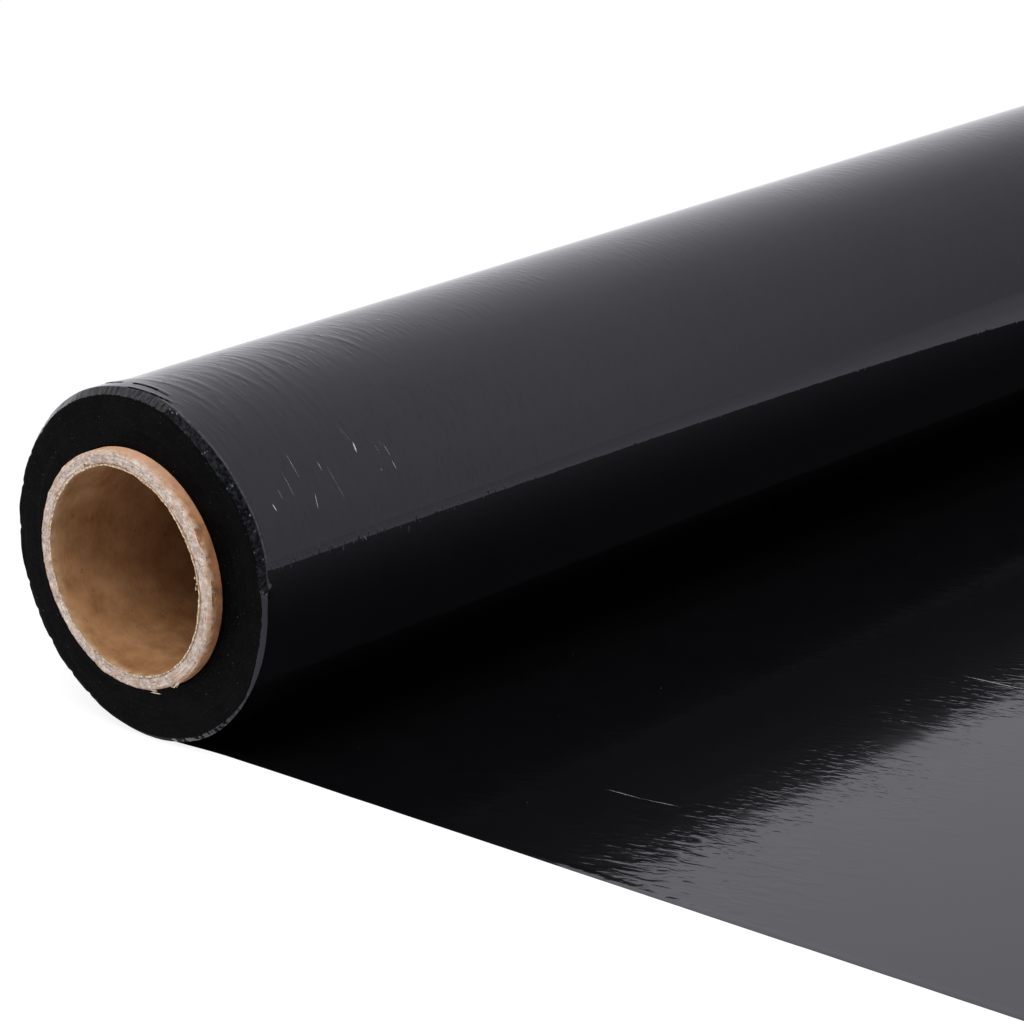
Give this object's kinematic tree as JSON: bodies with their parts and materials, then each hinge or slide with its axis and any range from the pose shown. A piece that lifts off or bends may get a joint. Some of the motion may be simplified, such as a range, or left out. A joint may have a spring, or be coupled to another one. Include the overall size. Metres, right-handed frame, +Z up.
{
  "type": "stretch wrap roll",
  "caption": "Roll of black stretch film on a spiral-wound cardboard core, lying on its side with a length of film pulled out flat.",
  "frame": {"origin": "middle of the core's bore, on its axis", "axes": "+X along the roll's axis, toward the end that is far away in the picture; +Z up; the pulled-out film lies toward -Y"},
  "size_m": [0.4582, 0.6032, 0.0862],
  "materials": {
    "film": "glossy black polyethylene film",
    "kraft_liner": "smooth brown kraft paper",
    "grey_board": "cut grey chipboard",
    "kraft_wrap": "brown kraft paper"
  },
  "bodies": {
    "root": {"stretch_film": "film", "core_liner": "kraft_liner", "core_board": "grey_board", "core_wrap": "kraft_wrap"}
  },
  "joints": []
}
